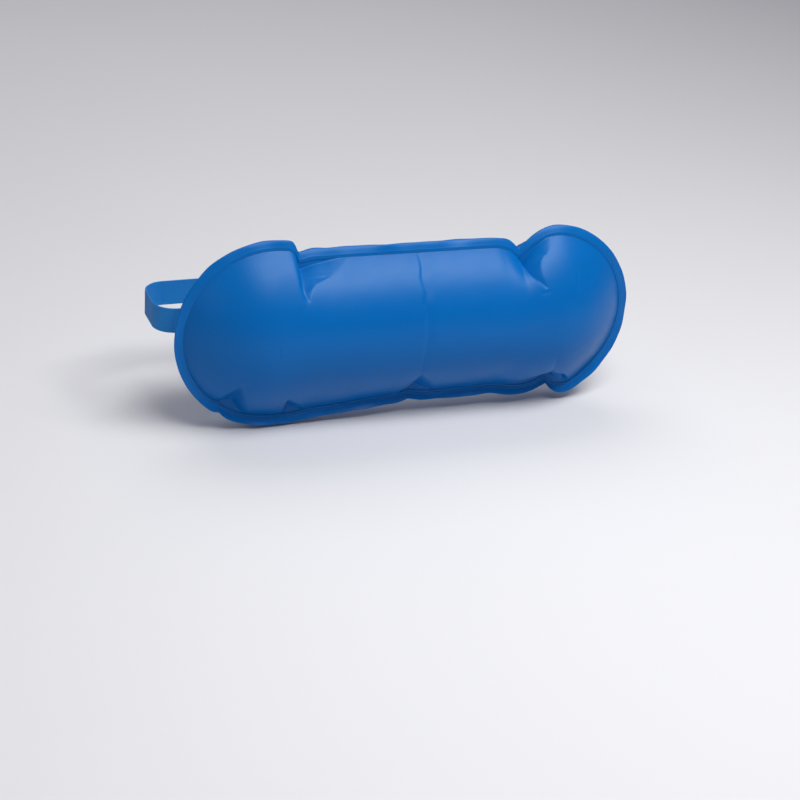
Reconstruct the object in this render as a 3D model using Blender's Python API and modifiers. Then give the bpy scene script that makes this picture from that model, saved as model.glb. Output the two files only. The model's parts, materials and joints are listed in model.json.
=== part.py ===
"""Inflatable lumbar cushion with an elastic strap that goes round a chair's back.

Units are metres. +X runs along the cushion, -Y points to the sitter, +Z is up. The
origin is the middle of the flat rear face, which lies against the backrest.
"""

import math

import bmesh
import bpy
from mathutils import Matrix, Vector

GAP = 0.0003  # clearance left between neighbouring pieces

# The cushion: two films welded round the edge
HALF_LENGTH = 0.230
LOBE_RADIUS = 0.0925
LOBE_CENTRE = HALF_LENGTH - LOBE_RADIUS
BAND_HALF_HEIGHT = 0.082
NECK_FILLET = 0.005
WELD_WIDTH = 0.006
FILM = 0.0006
SEAM_Y = -0.043
FRONT_Y = -0.085
END_STEPS = 16
SIDE_STEPS = 20
FILM_RINGS = 6

# Inner outline and section of each film: half length, half height, fullness
FRONT_CROWN = (0.135, 0.020, 2.3)
REAR_CONTACT = (0.120, 0.045, 3.0)

# The strap: elastic webbing, in a loop behind the cushion
STRAP_WIDTH = 0.025
STRAP = 0.0012
LOOP_HALF_WIDTH = 0.2352
LOOP_DEPTH = 0.0706
LOOP_CORNER = 0.0206
STRAP_SPLIT_Y = LOOP_DEPTH - LOOP_CORNER

# Anchor patches, each with the strap's end stitched on top
PATCH = 0.0008
PATCH_Y = 0.0004
PATCH_INNER = 0.126
PATCH_OUTER = 0.184
PATCH_HEIGHT = 0.044
STRAP_END_X = 0.158
FRONT_STRAP_Y = PATCH_Y + PATCH + GAP + STRAP / 2
STITCH = 0.0004

# The buckle, centred on the middle of the loop's rear run
BUCKLE_Y = 0.0745
BUCKLE_THICKNESS = 0.0086
BUCKLE_HEIGHT = 0.034
BUCKLE_CHEEK = 0.0038
BUCKLE_ROUNDING = 0.0007
MOUTH_X = 0.008
BAR_RADIUS = 0.0016
WRAP_RADIUS = BAR_RADIUS + GAP + STRAP / 2
BAR_Y = LOOP_DEPTH + WRAP_RADIUS
RECEPTACLE_BAR_X = -0.0265
PLUG_BAR_X = 0.0205
TONGUE = 0.0042
OUTER_LAYER_Y = LOOP_DEPTH + STRAP + GAP
HINGE_X = 0.0072
HINGE_Z = 0.0092
TAIL_END_X = 0.135
KEEPER_X = 0.095
KEEPER_LENGTH = 0.009
KEEPER_WALL = 0.0010

# The valve, on the rear film of the right lobe, towards its lower edge
VALVE_ANGLE = math.radians(-50)
VALVE_SPREAD = 0.72  # 0 on the contact patch, 1 at the weld
FILM_HOLE = 0.0074
BORE = 0.0032
STEM_RADIUS = 0.0052
STEM_DEPTH = 0.016
FLAP_RADIUS = 0.0044
FLAP = 0.0008

BLUE_VINYL = ("blue_vinyl", (0.0, 0.115, 0.440), 0.42)
CLEAR_VINYL = ("soft_valve_vinyl", (0.55, 0.70, 0.85), 0.35)
STRAP_CLOTH = ("blue_elastic", (0.0, 0.160, 0.480), 0.85)
THREAD = ("blue_thread", (0.01, 0.10, 0.34), 0.7)
BLACK_PLASTIC = ("black_acetal", (0.012, 0.012, 0.013), 0.38)


# Scene, materials and modifiers


def clear_scene():
    for obj in list(bpy.data.objects):
        bpy.data.objects.remove(obj, do_unlink=True)


def new_collection(name, hidden=False):
    collection = bpy.data.collections.new(name)
    bpy.context.scene.collection.children.link(collection)
    collection.hide_render = hidden
    return collection


def material(look):
    """The Principled material of this look, made the first time it is asked for."""
    name, colour, roughness = look
    found = bpy.data.materials.get(name)
    if found:
        return found
    made = bpy.data.materials.new(name)
    made.use_nodes = True
    shader = made.node_tree.nodes["Principled BSDF"]
    shader.inputs["Base Color"].default_value = (*colour, 1.0)
    shader.inputs["Roughness"].default_value = roughness
    shader.inputs["Metallic"].default_value = 0.0
    made.diffuse_color = (*colour, 1.0)
    return made


def add_object(name, data, look=None, parent=None, location=(0, 0, 0)):
    obj = bpy.data.objects.new(name, data)
    (PARTS if look else CUTTERS).objects.link(obj)
    obj.location = location
    obj.parent = parent
    if look:
        data.materials.append(material(look))
    else:
        obj.hide_render = True
        obj.display_type = "WIRE"
    return obj


def add_empty(name, matrix):
    empty = bpy.data.objects.new(name, None)
    PARTS.objects.link(empty)
    empty.empty_display_size = 0.01
    empty.matrix_world = matrix
    return empty


def mesh_of(build, name):
    """A mesh filled by build, which is handed an empty bmesh."""
    bm = bmesh.new()
    build(bm)
    mesh = bpy.data.meshes.new(name)
    bm.to_mesh(mesh)
    bm.free()
    return mesh


def solidify(obj, thickness, offset):
    modifier = obj.modifiers.new("thickness", "SOLIDIFY")
    modifier.thickness = thickness
    modifier.offset = offset
    modifier.use_even_offset = True


def boolean(obj, other, operation):
    modifier = obj.modifiers.new(operation.lower(), "BOOLEAN")
    modifier.operation = operation
    modifier.solver = "EXACT"
    modifier.object = other


def bevel(obj, width):
    modifier = obj.modifiers.new("rounded edges", "BEVEL")
    modifier.width = width
    modifier.segments = 2
    modifier.limit_method = "ANGLE"
    modifier.angle_limit = math.radians(40)


# Basic shapes


def box(name, low, high, look=None, parent=None):
    """A box between two corners, with its origin at its middle."""
    size = Vector(high) - Vector(low)
    middle = (Vector(high) + Vector(low)) / 2

    def build(bm):
        bmesh.ops.create_cube(bm, size=1.0, matrix=Matrix.Diagonal((*size, 1.0)))

    return add_object(name, mesh_of(build, name), look, parent, middle)


def rod(name, start, end, radius, look=None, parent=None):
    """A cylinder from start to end."""
    along = Vector(end) - Vector(start)
    turn = along.to_track_quat("Z", "Y").to_matrix().to_4x4()

    def build(bm):
        bmesh.ops.create_cone(
            bm,
            cap_ends=True,
            segments=20,
            radius1=radius,
            radius2=radius,
            depth=along.length,
            matrix=turn,
        )

    middle = (Vector(end) + Vector(start)) / 2
    return add_object(name, mesh_of(build, name), look, parent, middle)


def plate(name, outlines, thickness, look, location):
    """Flat outlines, the first with the others as its holes, standing in the XZ plane."""
    curve = bpy.data.curves.new(name, "CURVE")
    curve.dimensions = "2D"
    curve.fill_mode = "BOTH"
    curve.extrude = thickness / 2
    for outline in outlines:
        spline = curve.splines.new("POLY")
        spline.points.add(len(outline) - 1)
        for point, (x, z) in zip(spline.points, outline):
            point.co = (x, z, 0, 1)
        spline.use_cyclic_u = True
    flat = bpy.data.objects.new(name, curve)
    PARTS.objects.link(flat)
    flat.rotation_euler = (math.radians(90), 0, 0)
    flat.location = location
    bpy.context.view_layer.update()
    return meshed(flat, look)


def meshed(flat, look):
    """The curve object as a mesh object with its caps welded, at the same place."""
    graph = bpy.context.evaluated_depsgraph_get()
    mesh = bpy.data.meshes.new_from_object(flat.evaluated_get(graph))
    bm = bmesh.new()
    bm.from_mesh(mesh)
    bmesh.ops.remove_doubles(bm, verts=bm.verts, dist=1e-6)
    bm.to_mesh(mesh)
    bm.free()
    name = flat.name
    place = flat.matrix_world.copy()
    bpy.data.objects.remove(flat, do_unlink=True)
    mesh.materials.clear()
    obj = add_object(name, mesh, look)
    obj.matrix_world = place
    return obj


def turned(name, profile, look, parent):
    """A closed profile of (radius, height) points, turned about the parent's Z axis."""

    def build(bm):
        verts = [bm.verts.new((radius, 0, height)) for radius, height in profile]
        for first, second in zip(verts, verts[1:] + verts[:1]):
            bm.edges.new((first, second))

    obj = add_object(name, mesh_of(build, name), look, parent)
    screw = obj.modifiers.new("turn", "SCREW")
    screw.steps = 28
    screw.render_steps = 28
    screw.use_merge_vertices = True
    screw.merge_threshold = 0.00001
    return obj


def arc(centre, radius, start, end, steps):
    """Points along an arc, both ends included, with angles in degrees."""
    angles = [math.radians(start + (end - start) * k / steps) for k in range(steps + 1)]
    return [
        (centre[0] + radius * math.cos(a), centre[1] + radius * math.sin(a)) for a in angles
    ]


def rounded_rectangle(left, right, half_height, radius):
    outline = []
    for x, z, start in (
        (right - radius, half_height - radius, 0),
        (left + radius, half_height - radius, 90),
        (left + radius, radius - half_height, 180),
        (right - radius, radius - half_height, 270),
    ):
        outline += arc((x, z), radius, start, start + 90, 4)
    return outline


# The inflated cushion


def lobed_half_height(x, inset):
    """Half the cushion's height at x between the lobes' centres, with rounded necks."""
    lobe = math.sqrt((LOBE_RADIUS - inset) ** 2 - min(LOBE_CENTRE - abs(x), 0.08) ** 2)
    band = BAND_HALF_HEIGHT - inset
    near = max(NECK_FILLET - abs(lobe - band), 0) / NECK_FILLET
    return max(lobe, band) + near * near * NECK_FILLET / 4


def long_outline(centre, end_radius, half_height):
    """Points anticlockwise round a long outline: round ends joined by two long sides."""
    points = []
    for side in (1, -1):
        for step in range(END_STEPS):
            angle = math.pi * (step / END_STEPS - 0.5)
            x = centre + end_radius * math.cos(angle)
            points.append(Vector((side * x, 0, side * end_radius * math.sin(angle))))
        for step in range(SIDE_STEPS):
            x = centre * (1 - 2 * step / SIDE_STEPS)
            points.append(Vector((side * x, 0, side * half_height(x))))
    return points


def edge_outline(inset):
    """The cushion's own outline, moved inwards."""
    return long_outline(
        LOBE_CENTRE, LOBE_RADIUS - inset, lambda x: lobed_half_height(x, inset)
    )


def crown_outline(half_length, half_height):
    return long_outline(half_length - half_height, half_height, lambda _: half_height)


def section(share, fullness):
    """How far out and how high the film is, at this share of the way up its side."""
    angle = share * math.pi / 2
    return math.cos(angle) ** (2 / fullness), math.sin(angle)


def film_rings(crown, outer_y, facing):
    """Rings of points from the flange's edge to the crown. facing is -1 in front."""
    half_length, half_height, fullness = crown
    face_y = SEAM_Y + facing * (GAP / 2 + FILM)
    edge = edge_outline(0)
    weld = edge_outline(WELD_WIDTH)
    top = crown_outline(half_length, half_height)
    rings = [[point + Vector((0, face_y, 0)) for point in edge]]
    for step in range(FILM_RINGS + 1):
        out, rise = section(step / FILM_RINGS, fullness)
        y = face_y + (outer_y - face_y) * rise
        rings.append([c + (w - c) * out + Vector((0, y, 0)) for w, c in zip(weld, top)])
    return rings


def film(name, crown, outer_y, facing):
    """One film: a flat flange, a rounded side and a flat middle, lofted ring by ring."""

    def build(bm):
        places = film_rings(crown, outer_y, facing)
        rings = [[bm.verts.new(point) for point in ring] for ring in places]
        count = len(rings[0])
        for outer, inner in zip(rings, rings[1:]):
            for k in range(count):
                after = (k + 1) % count
                bm.faces.new((outer[k], outer[after], inner[after], inner[k]))
        bm.faces.new(rings[-1])
        if facing > 0:
            bmesh.ops.reverse_faces(bm, faces=bm.faces)

    obj = add_object(name, mesh_of(build, name), BLUE_VINYL)
    solidify(obj, FILM, -1)
    obj.data.shade_smooth()
    return obj


def rear_film_point(angle, spread):
    """A point on the rear film's right lobe, at an angle round it and a spread from the crown."""
    half_length, half_height, fullness = REAR_CONTACT
    around = Vector((math.cos(angle), 0, math.sin(angle)))
    weld = Vector((LOBE_CENTRE, 0, 0)) + around * (LOBE_RADIUS - WELD_WIDTH)
    crown = Vector((half_length - half_height, 0, 0)) + around * half_height
    rise = math.sqrt(1 - spread**fullness)
    return crown + (weld - crown) * spread + Vector((0, SEAM_Y * (1 - rise), 0))


def cushion():
    film("front_film", FRONT_CROWN, FRONT_Y, -1)
    return film("rear_film", REAR_CONTACT, 0.0, 1)


# The valve


def valve_frame():
    """An empty on the rear film with its Z axis along the film's outward normal."""
    step = 0.01
    here = rear_film_point(VALVE_ANGLE, VALVE_SPREAD)
    round_lobe = rear_film_point(VALVE_ANGLE + step, VALVE_SPREAD) - here
    outwards = rear_film_point(VALVE_ANGLE, VALVE_SPREAD + step) - here
    normal = outwards.cross(round_lobe).normalized()
    if normal.y < 0:
        normal.negate()
    x_axis = (outwards - normal * outwards.dot(normal)).normalized()
    turn = Matrix((x_axis, normal.cross(x_axis), normal)).transposed().to_4x4()
    return add_empty("valve_frame", Matrix.Translation(here) @ turn)


def valve(rear_film):
    frame = valve_frame()
    hole = rod("valve_hole", (0, 0, -0.012), (0, 0, 0.012), FILM_HOLE, parent=frame)
    boolean(rear_film, hole, "DIFFERENCE")
    seat = STEM_RADIUS + 0.0004
    sleeve = 0.0070
    turned(
        "valve_flange",
        [
            (0.0120, GAP + 0.0006),
            (0.0120, GAP),
            (sleeve, GAP),
            (sleeve, -0.0040),
            (seat, -0.0040),
            (seat, GAP + 0.0010),
            (0.0114, GAP + 0.0010),
        ],
        CLEAR_VINYL,
        frame,
    )
    turned(
        "valve_stem",
        [
            (0.0074, 0.0031),
            (0.0074, 0.0017),
            (STEM_RADIUS, 0.0017),
            (STEM_RADIUS, 0.0012 - STEM_DEPTH),
            (0.0066, 0.0012 - STEM_DEPTH),
            (0.0066, -STEM_DEPTH),
            (BORE, -STEM_DEPTH),
            (BORE, 0.0031),
        ],
        CLEAR_VINYL,
        frame,
    )
    turned(
        "valve_plug",
        [
            (0.0, 0.0052),
            (0.0056, 0.0052),
            (0.0064, 0.0045),
            (0.0064, 0.0031 + GAP),
            (BORE - GAP, 0.0031 + GAP),
            (BORE - GAP, -0.0035),
            (0.0022, -0.0045),
            (0.0, -0.0045),
        ],
        CLEAR_VINYL,
        frame,
    )
    flap = rod(
        "valve_check_flap",
        (0, 0, -STEM_DEPTH - GAP - FLAP),
        (0, 0, -STEM_DEPTH - GAP),
        FLAP_RADIUS,
        CLEAR_VINYL,
        frame,
    )
    # The flap's origin goes to its hinge, at its edge.
    flap.data.transform(Matrix.Translation((FLAP_RADIUS, 0, -FLAP / 2)))
    flap.location += Vector((-FLAP_RADIUS, 0, FLAP / 2))
    loop = [(0.0074 + GAP, 0.0024), (0.0100, 0.0024)]
    loop += arc((0.0100, 0.0034), 0.0010, -60, 60, 4)
    loop += [(0.0100, 0.0044), (0.0064 + GAP, 0.0044)]
    ribbon("valve_tether", loop, 0.0030, 0.0007, CLEAR_VINYL, frame)


# The strap


def ribbon(name, path, width, thickness, look, parent=None):
    """A flat band of even thickness along a path in its own first and second axes.

    Under the valve's empty the path lies in local XZ, and elsewhere in XY.
    """
    upright = parent is None

    def corner(point, side):
        u, v = point
        return (u, v, side * width / 2) if upright else (u, side * width / 2, v)

    def build(bm):
        low = [bm.verts.new(corner(point, -1)) for point in path]
        high = [bm.verts.new(corner(point, 1)) for point in path]
        for k in range(len(path) - 1):
            bm.faces.new((low[k], low[k + 1], high[k + 1], high[k]))

    obj = add_object(name, mesh_of(build, name), look, parent)
    solidify(obj, thickness, 0)
    obj.data.shade_smooth()
    return obj


def mirrored(path, side):
    return [(side * x, y) for x, y in path]


def side_run():
    """From the strap's stitched end, round the backrest's edge, to the split."""
    corner_x = LOOP_HALF_WIDTH - LOOP_CORNER
    front = (corner_x, FRONT_STRAP_Y + LOOP_CORNER)
    path = [(STRAP_END_X, FRONT_STRAP_Y), (0.187, FRONT_STRAP_Y)]
    path += arc(front, LOOP_CORNER, -90, 0, 8)
    path += [(LOOP_HALF_WIDTH, STRAP_SPLIT_Y - GAP)]
    return path


def rear_run(bar_x, end_x):
    """From the split, round the corner, to the buckle's bar, round it and back outside."""
    corner = (LOOP_HALF_WIDTH - LOOP_CORNER, STRAP_SPLIT_Y)
    ramp_x = bar_x + 0.0245
    path = arc(corner, LOOP_CORNER, 0, 90, 8)
    path += arc((bar_x, BAR_Y), WRAP_RADIUS, 270, 90, 8)
    path += [(ramp_x, OUTER_LAYER_Y), (end_x, OUTER_LAYER_Y)]
    return path


def anchor(name, side):
    outline = rounded_rectangle(PATCH_INNER, PATCH_OUTER, PATCH_HEIGHT / 2, 0.008)
    y = PATCH_Y + PATCH / 2
    plate(f"strap_anchor_{name}", [mirrored(outline, side)], PATCH, BLUE_VINYL, (0, y, 0))


def box_stitch(name, side):
    """A box-and-cross seam: a rectangle of thread with four triangular holes."""
    half_x, half_z, thread = 0.0100, 0.0095, 0.0012
    left, right = -half_x + thread, half_x - thread
    low, high = -half_z + thread, half_z - thread
    cross = thread * 0.8
    outer = [(-half_x, -half_z), (half_x, -half_z), (half_x, half_z), (-half_x, half_z)]
    holes = [
        [(left + cross, low), (right - cross, low), (0, -cross)],
        [(left + cross, high), (right - cross, high), (0, cross)],
        [(left, low + cross), (left, high - cross), (-cross, 0)],
        [(right, low + cross), (right, high - cross), (cross, 0)],
    ]
    x = side * (STRAP_END_X + half_x + 0.003)
    y = FRONT_STRAP_Y + STRAP / 2 + GAP + STITCH / 2
    plate(f"anchor_stitch_{name}", [outer, *holes], STITCH, THREAD, (x, y, 0))


def strap():
    for name, side in (("left", -1), ("right", 1)):
        anchor(name, side)
        box_stitch(name, side)
        path = mirrored(side_run(), side)
        ribbon(f"strap_side_{name}", path, STRAP_WIDTH, STRAP, STRAP_CLOTH)
    left = mirrored(rear_run(-RECEPTACLE_BAR_X, 0.075), -1)
    right = rear_run(PLUG_BAR_X, TAIL_END_X)
    ribbon("strap_rear_left", left, STRAP_WIDTH, STRAP, STRAP_CLOTH)
    ribbon("strap_rear_right", right, STRAP_WIDTH, STRAP, STRAP_CLOTH)
    tack_y = OUTER_LAYER_Y + STRAP / 2 + GAP
    tack = box(
        "bar_tack", (-0.068, tack_y, -0.0110), (-0.065, tack_y + STITCH, 0.0110), THREAD
    )
    bevel(tack, 0.0001)


def tail_keeper():
    """A flat moulded loop that holds the strap's spare end down."""
    inner = OUTER_LAYER_Y + STRAP / 2 + 0.0006
    low = (KEEPER_X - KEEPER_LENGTH / 2, LOOP_DEPTH - 0.0012, -STRAP_WIDTH / 2 - 0.0006)
    high = (KEEPER_X + KEEPER_LENGTH / 2, inner, STRAP_WIDTH / 2 + 0.0006)
    wall = Vector((0, KEEPER_WALL, KEEPER_WALL * 1.6))
    past = Vector((0.002, 0, 0))
    keeper = box("tail_keeper", Vector(low) - wall, Vector(high) + wall, BLACK_PLASTIC)
    hole = box("keeper_hole", Vector(low) - past, Vector(high) + past)
    boolean(keeper, hole, "DIFFERENCE")
    bevel(keeper, 0.0003)


# The side-release buckle


def buckle_box(name, x_range, thickness, z_range, look=None):
    low = (x_range[0], BUCKLE_Y - thickness / 2, z_range[0])
    high = (x_range[1], BUCKLE_Y + thickness / 2, z_range[1])
    return box(name, low, high, look)


def webbing_end(host, name, bar_x, x_range):
    """Cheeks and a round bar, joined to a buckle half, for the webbing to go round."""
    half = BUCKLE_HEIGHT / 2
    for label, side in (("upper", 1), ("lower", -1)):
        z_range = sorted((side * (half - BUCKLE_CHEEK), side * half))
        cheek = buckle_box(f"{name}_{label}_cheek", x_range, BUCKLE_THICKNESS, z_range)
        boolean(host, cheek, "UNION")
    reach = half - BUCKLE_CHEEK / 2
    start, end = (bar_x, BAR_Y, -reach), (bar_x, BAR_Y, reach)
    boolean(host, rod(f"{name}_bar", start, end, BAR_RADIUS), "UNION")


def receptacle():
    half = BUCKLE_HEIGHT / 2
    body = buckle_box(
        "buckle_receptacle", (-0.0215, MOUTH_X), BUCKLE_THICKNESS, (-half, half), BLACK_PLASTIC
    )
    webbing_end(body, "receptacle", RECEPTACLE_BAR_X, (-0.0295, -0.0190))
    bevel(body, BUCKLE_ROUNDING)
    cavity = buckle_box("cavity", (-0.0185, MOUTH_X + 0.002), 0.0052, (-0.0136, 0.0136))
    boolean(body, cavity, "DIFFERENCE")
    window = buckle_box("windows", (-0.0170, -0.0075), 0.0052, (-0.020, 0.020))
    boolean(body, window, "DIFFERENCE")


def plug():
    half = BUCKLE_HEIGHT / 2
    base_x = (MOUTH_X + 0.0006, MOUTH_X + 0.0050)
    base = buckle_box("buckle_plug", base_x, BUCKLE_THICKNESS, (-half, half), BLACK_PLASTIC)
    webbing_end(base, "plug", PLUG_BAR_X, (base_x[1] - 0.002, PLUG_BAR_X + 0.003))
    bevel(base, BUCKLE_ROUNDING)
    guide = buckle_box("plug_guide", (-0.0160, base_x[0] + 0.002), TONGUE, (-0.0020, 0.0020))
    boolean(base, guide, "UNION")


def latch_arm(name, side):
    """A flexing arm of the plug: its head fills a window and its shoulder holds it there."""
    outline = [
        (0.0008, -0.0016),
        (0.0008, 0.0014),
        (-0.0060, 0.0020),
        (-0.0150, 0.0028),
        (-0.0152, 0.0058),
        (-0.0190, 0.0056),
        (-0.0222, 0.0040),
        (-0.0238, 0.0014),
        (-0.0238, -0.0004),
        (-0.0214, -0.0010),
        (-0.0150, -0.0004),
        (-0.0060, -0.0012),
    ]
    place = (HINGE_X, BUCKLE_Y, side * HINGE_Z)
    points = [(x, side * z) for x, z in outline]
    arm = plate(f"latch_arm_{name}", [points], TONGUE, BLACK_PLASTIC, place)
    bevel(arm, 0.0003)


def buckle():
    receptacle()
    plug()
    latch_arm("upper", 1)
    latch_arm("lower", -1)


clear_scene()
PARTS = new_collection("lumbar_cushion")
CUTTERS = new_collection("cutters", hidden=True)
valve(cushion())
strap()
tail_keeper()
buckle()
bpy.context.view_layer.update()
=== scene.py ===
"""The looks of an inflatable lumbar cushion with an elastic strap, built round its CAD frame.

Metres, in the CAD frame: +X along the cushion, -Y towards the sitter, +Z up.
"""

import json
import math

import bmesh
import bpy
import numpy as np
from mathutils import Matrix, Vector


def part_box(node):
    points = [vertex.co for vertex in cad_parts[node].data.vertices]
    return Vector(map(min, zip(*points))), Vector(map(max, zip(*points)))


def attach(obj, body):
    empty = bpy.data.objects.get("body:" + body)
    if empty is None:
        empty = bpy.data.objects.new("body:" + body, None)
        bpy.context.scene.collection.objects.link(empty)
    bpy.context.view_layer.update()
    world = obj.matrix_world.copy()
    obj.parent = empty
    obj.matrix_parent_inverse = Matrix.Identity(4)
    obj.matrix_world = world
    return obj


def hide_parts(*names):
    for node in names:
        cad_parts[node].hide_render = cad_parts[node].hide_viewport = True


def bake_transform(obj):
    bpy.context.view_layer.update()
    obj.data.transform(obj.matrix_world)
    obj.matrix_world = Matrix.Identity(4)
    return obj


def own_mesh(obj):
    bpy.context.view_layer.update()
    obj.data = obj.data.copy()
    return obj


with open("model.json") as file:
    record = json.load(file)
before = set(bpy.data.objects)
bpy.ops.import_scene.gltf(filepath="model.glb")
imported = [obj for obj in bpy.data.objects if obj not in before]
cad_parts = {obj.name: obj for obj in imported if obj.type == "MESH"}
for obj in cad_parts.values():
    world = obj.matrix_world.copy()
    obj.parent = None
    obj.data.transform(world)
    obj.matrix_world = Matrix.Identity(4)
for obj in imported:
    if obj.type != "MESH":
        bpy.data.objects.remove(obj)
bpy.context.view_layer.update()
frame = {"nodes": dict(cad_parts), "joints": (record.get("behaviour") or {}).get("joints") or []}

GAP = 0.0003  # clearance between neighbouring pieces, as in the CAD

# Sizes read from the frame
FILM_LOW, FILM_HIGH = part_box("front_film")
HALF_LENGTH = FILM_HIGH.x
LOBE_RADIUS = FILM_HIGH.z
LOBE_CENTRE = HALF_LENGTH - LOBE_RADIUS
FRONT_Y = FILM_LOW.y
SEAM_Y = FILM_HIGH.y + GAP / 2
REAR_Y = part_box("rear_film")[1].y

# The cushion's outline
BAND_HALF_HEIGHT = 0.082
LOBE_SPAN = 0.08
NECK_FILLET = 0.006
WELD_WIDTH = 0.0085
END_STATIONS = 240
SIDE_STATIONS = 300
STATIONS = 2 * (END_STATIONS + SIDE_STATIONS)
FILM_RINGS = 81
RING_CROWDING = 1.1
LAST_RING = 0.05
NOTCH_FADE = 3.0
FRONT_SECTION = (2.05, 1.0)
REAR_SECTION = (2.6, 0.65)
REAR_PRESSED = 1.25
REAR_BEND = 0.14
FILM = 0.0005

# The welded border, and half its thickness at the rim, where it is pressed flat, at beads and at the chamber
WELD_OVERLAP = 0.0003
RIM_HALF, FLAT_HALF, BEAD_HALF, CHAMBER_HALF = 0.0004, 0.0006, 0.0009, 0.0007
FLANGE_LEAN = 0.0040
# Its waves along the edge: height, how many there are, and where they start
FLANGE_WAVES = ((0.0007, 9, 1.0), (0.0005, 23, 2.0), (0.0003, 41, 0.0))

# Cloth, for the front film
CLOTH_FRAMES = 24
CLOTH_QUALITY = 8
CLOTH_MASS = 0.08
CLOTH_STIFFNESS = 60.0
CLOTH_BENDING = 4.0
CLOTH_DAMPING = 15.0
CLOTH_BENDING_DAMPING = 2.0
CLOTH_AIR_DAMPING = 3.0
CLOTH_PRESSURE = 2.5
SLACK = 1.006
MOST_SHIFT = 0.004
CALMING_ROUNDS = 12

# Where the edge is drawn in: side (1 top, -1 bottom), x, depth, reach to -x, reach to +x, sharpness
EDGE_NOTCHES = (
    (1, -0.114, 0.0100, 0.0035, 0.0125, 1.5),
    (1, 0.107, 0.0170, 0.0095, 0.0190, 1.35),
    (-1, 0.152, 0.0165, 0.0330, 0.0080, 1.15),
    (-1, 0.172, -0.0024, 0.0090, 0.0140, 2.0),
    (-1, -0.188, 0.0030, 0.0035, 0.0060, 1.3),
    (-1, -0.088, -0.0065, 0.0300, 0.0500, 2.0),
    (-1, 0.003, 0.0038, 0.0070, 0.0110, 1.3),
)

# Folds of the front film. Each runs through points of x, z, depth, reach to its left, reach to its right
FOLD_POWER = 1.4
FOLD_ROUNDING = 0.12
FOLD_OVERLAP = 0.25
FOLD_FREE_RINGS = 9
FRONT_FOLDS = (
    (
        (-0.1150, 0.0800, 0.0075, 0.0450, 0.0016),
        (-0.1170, 0.0565, 0.0040, 0.0220, 0.0015),
        (-0.1130, 0.0450, 0.0010, 0.0035, 0.0010),
    ),
    (
        (0.1050, 0.0720, 0.0090, 0.0300, 0.0015),
        (0.1085, 0.0590, 0.0065, 0.0210, 0.0015),
        (0.1150, 0.0500, 0.0038, 0.0100, 0.0014),
        (0.1250, 0.0415, 0.0010, 0.0025, 0.0010),
    ),
    ((0.1205, 0.0365, 0.0005, 0.0020, 0.0020), (0.1290, 0.0380, 0.0005, 0.0020, 0.0020)),
    ((0.1605, 0.0520, 0.0005, 0.0015, 0.0015), (0.1590, 0.0385, 0.0005, 0.0015, 0.0015)),
    (
        (0.0060, -0.0430, 0.0010, 0.0040, 0.0030),
        (0.0055, -0.0620, 0.0075, 0.0200, 0.0070),
        (0.0040, -0.0810, 0.0130, 0.0340, 0.0110),
    ),
    (
        (-0.1725, -0.0400, 0.0010, 0.0050, 0.0030),
        (-0.1760, -0.0550, 0.0065, 0.0130, 0.0080),
        (-0.1805, -0.0790, 0.0105, 0.0210, 0.0140),
    ),
    (
        (-0.1240, -0.0610, 0.0010, 0.0030, 0.0020),
        (-0.1220, -0.0730, 0.0070, 0.0130, 0.0035),
        (-0.1180, -0.0860, 0.0090, 0.0170, 0.0045),
    ),
    (
        (0.1020, -0.0770, 0.0015, 0.0050, 0.0100),
        (0.1230, -0.0710, 0.0070, 0.0060, 0.0150),
        (0.1370, -0.0620, 0.0175, 0.0050, 0.0240),
        (0.1560, -0.0630, 0.0200, 0.0050, 0.0240),
        (0.1700, -0.0750, 0.0070, 0.0050, 0.0100),
    ),
)
# The fine crease down the middle of the front, which bends from side to side
CREASE_X, CREASE_TOP, CREASE_FOOT = 0.0025, 0.074, -0.030
CREASE_BENDS, CREASE_STEP, CREASE_WANDER = 5, 0.010, 0.0010
CREASE_DEPTH, CREASE_REACH = 0.0010, (0.0080, 0.0035)

# The strap
STRAP_LOW, STRAP_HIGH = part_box("strap_side_right")
STRAP_WIDTH = STRAP_HIGH.z - STRAP_LOW.z
STRAP = 0.0012
LOOP_HALF_WIDTH = STRAP_HIGH.x - STRAP / 2
LOOP_CORNER = 0.0206
STRAP_END_X = STRAP_LOW.x
SEWN_TO_X = 0.187
STRAP_Y = STRAP_LOW.y + STRAP / 2
STRAP_SPLIT_Y = STRAP_HIGH.y
WRAP_RADIUS = 0.0025
LOOP_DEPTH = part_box("strap_rear_right")[1].y - STRAP / 2 - 2 * WRAP_RADIUS
OUTER_LAYER_Y = LOOP_DEPTH + STRAP + GAP
RECEPTACLE_BAR_X = 0.0265
RECEPTACLE_END_X = 0.075
PLUG_BAR_X = 0.0205
PLUG_END_X = 0.135
WRAP_TAPER = 0.0245
ARC_STEPS = 14
RIBS = 15
RIB_SAMPLES = 6
RIB_HEIGHT = 0.00009
SELVEDGE = 0.0009
STRAP_STEP = 0.0022
SWAY = 0.0003
SWAY_RATE = 37
PATCH_CORNER = 0.008
PATCH_LOW, PATCH_FACE = 0.0005, 0.0008
STITCH_LENGTH = 0.0026
STITCH_SHARE = 0.84
STITCH_RINGS, THREAD_SIDES = 7, 8
THREAD_RADIUS = 0.00032
STITCH_INSET = 0.0006
BAR_TACK_STITCHES = 22

# The valve, in its own frame: the film is at height 0
VALVE_BORE = 0.0032
VALVE_SEAT = 0.0056
VALVE_SLEEVE = 0.0070
FILM_HOLE = 0.0078
FILM_FLAT_RADIUS, FILM_FREE_RADIUS = 0.013, 0.030
FILM_NEAR_VALVE = 0.020
FLAP_HINGE = (-0.0044, 0.0, -0.0163)
TURNED_SIDES = 72
TETHER_STEP = 0.0003
TETHER_HALF_WIDTH, TETHER_HALF_THICKNESS, TETHER_CORNER = 0.0015, 0.00034, 0.0003
VALVE_EDGE, PLASTIC_EDGE = 0.00022, 0.0004

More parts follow.
